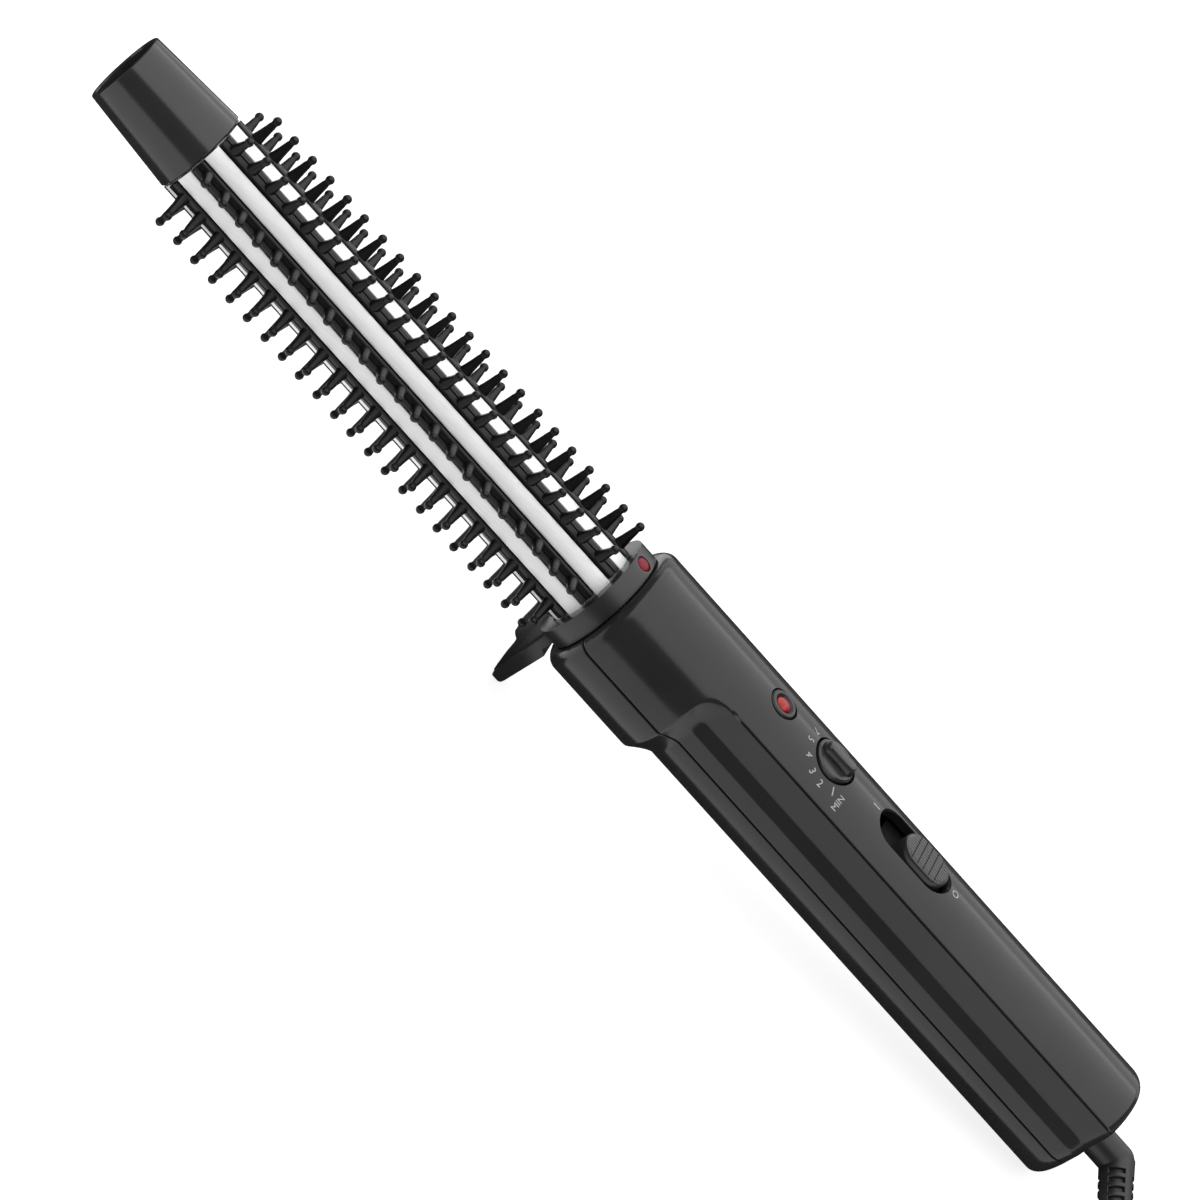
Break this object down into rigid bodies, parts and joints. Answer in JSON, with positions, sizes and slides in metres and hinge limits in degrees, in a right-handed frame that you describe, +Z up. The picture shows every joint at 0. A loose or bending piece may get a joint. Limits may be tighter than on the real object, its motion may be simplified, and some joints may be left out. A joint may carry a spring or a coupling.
{
  "type": "heated styling brush",
  "caption": "Hand-held heated styling brush with rows of ball-tip bristles on a metal barrel, cool tip, heel rest, heat dial, slide switch and a cord folded for storage.",
  "frame": {"origin": "on the surface it lies on, under the middle of the brush without its free cord", "axes": "+X along the brush from the handle end to the cool tip, which is raised 7.4 degrees; +Z up, the side of the controls; +Y the side to which the cord leaves"},
  "size_m": [0.443, 0.0574, 0.0618],
  "materials": {
    "dark_shell": "satin moulded, dark grey",
    "black_plastic": "satin moulded, black",
    "bristle_nylon": "satin nylon, black",
    "satin_aluminium": "satin, brushed along its length",
    "ceramic": "unglazed, pale",
    "steel": "zinc plated",
    "red_dot": "satin, deep red",
    "red_lens": "glossy, translucent red",
    "circuit_green": "solder resist",
    "wire_sheath": "soft sheath",
    "cord_sheath": "smooth satin sheath, black",
    "plug_brass": "nickel plated brass"
  },
  "bodies": {
    "root": {"handle_top_shell": "dark_shell", "handle_bottom_shell": "dark_shell", "cool_tip": "dark_shell", "stand_collar": "dark_shell", "lamp_bezel": "black_plastic", "temperature_control": "black_plastic", "switch_body": "black_plastic", "cord_clamp": "black_plastic", "strain_relief": "black_plastic", "plug_body": "black_plastic", "cord_tie_1": "black_plastic", "cord_tie_2": "black_plastic", "bristle_strip_1": "bristle_nylon", "bristle_strip_2": "bristle_nylon", "bristle_strip_3": "bristle_nylon", "bristle_strip_4": "bristle_nylon", "bristle_strip_5": "bristle_nylon", "bristle_strip_6": "bristle_nylon", "bristle_strip_7": "bristle_nylon", "bristle_strip_8": "bristle_nylon", "barrel_tube": "satin_aluminium", "tip_insulator": "ceramic", "barrel_bush": "ceramic", "heater_carrier": "ceramic", "rear_handle_screw": "steel", "front_handle_screw": "steel", "tip_screw": "steel", "heater_plate": "steel", "thermal_fuse": "steel", "heat_ready_dot": "red_dot", "indicator_lens": "red_lens", "indicator_lamp": "red_lens", "circuit_board": "circuit_green", "live_wire": "wire_sheath", "neutral_wire": "wire_sheath", "heater_lead_1": "wire_sheath", "heater_lead_2": "wire_sheath", "cord_lead": "cord_sheath", "cord_hank": "cord_sheath", "cord_tail": "cord_sheath", "plug_blade_1": "plug_brass", "plug_blade_2": "plug_brass"},
    "dial": {"heat_dial": "dark_shell", "dial_shaft": "steel"},
    "slider": {"switch_button": "dark_shell", "switch_lever": "black_plastic"},
    "swivel": {"cord_swivel_neck": "black_plastic"}
  },
  "joints": [
    {"name": "heat_dial_turn", "type": "hinge", "parent": "root", "child": "dial", "pos_m": [-0.03739, -0.0049, 0.03714], "axis": [0.1291, 0, -0.9916], "range_deg": [0, 270]},
    {"name": "power_switch_slide", "type": "slide", "parent": "root", "child": "slider", "axis": [0.9916, 0, 0.1291], "range_m": [0, 0.0062]},
    {"name": "cord_swivel_turn", "type": "hinge", "parent": "root", "child": "swivel", "pos_m": [-0.13227, -0.0049, 0.01379], "axis": [0.9916, 0, 0.1291], "continuous": true}
  ]
}
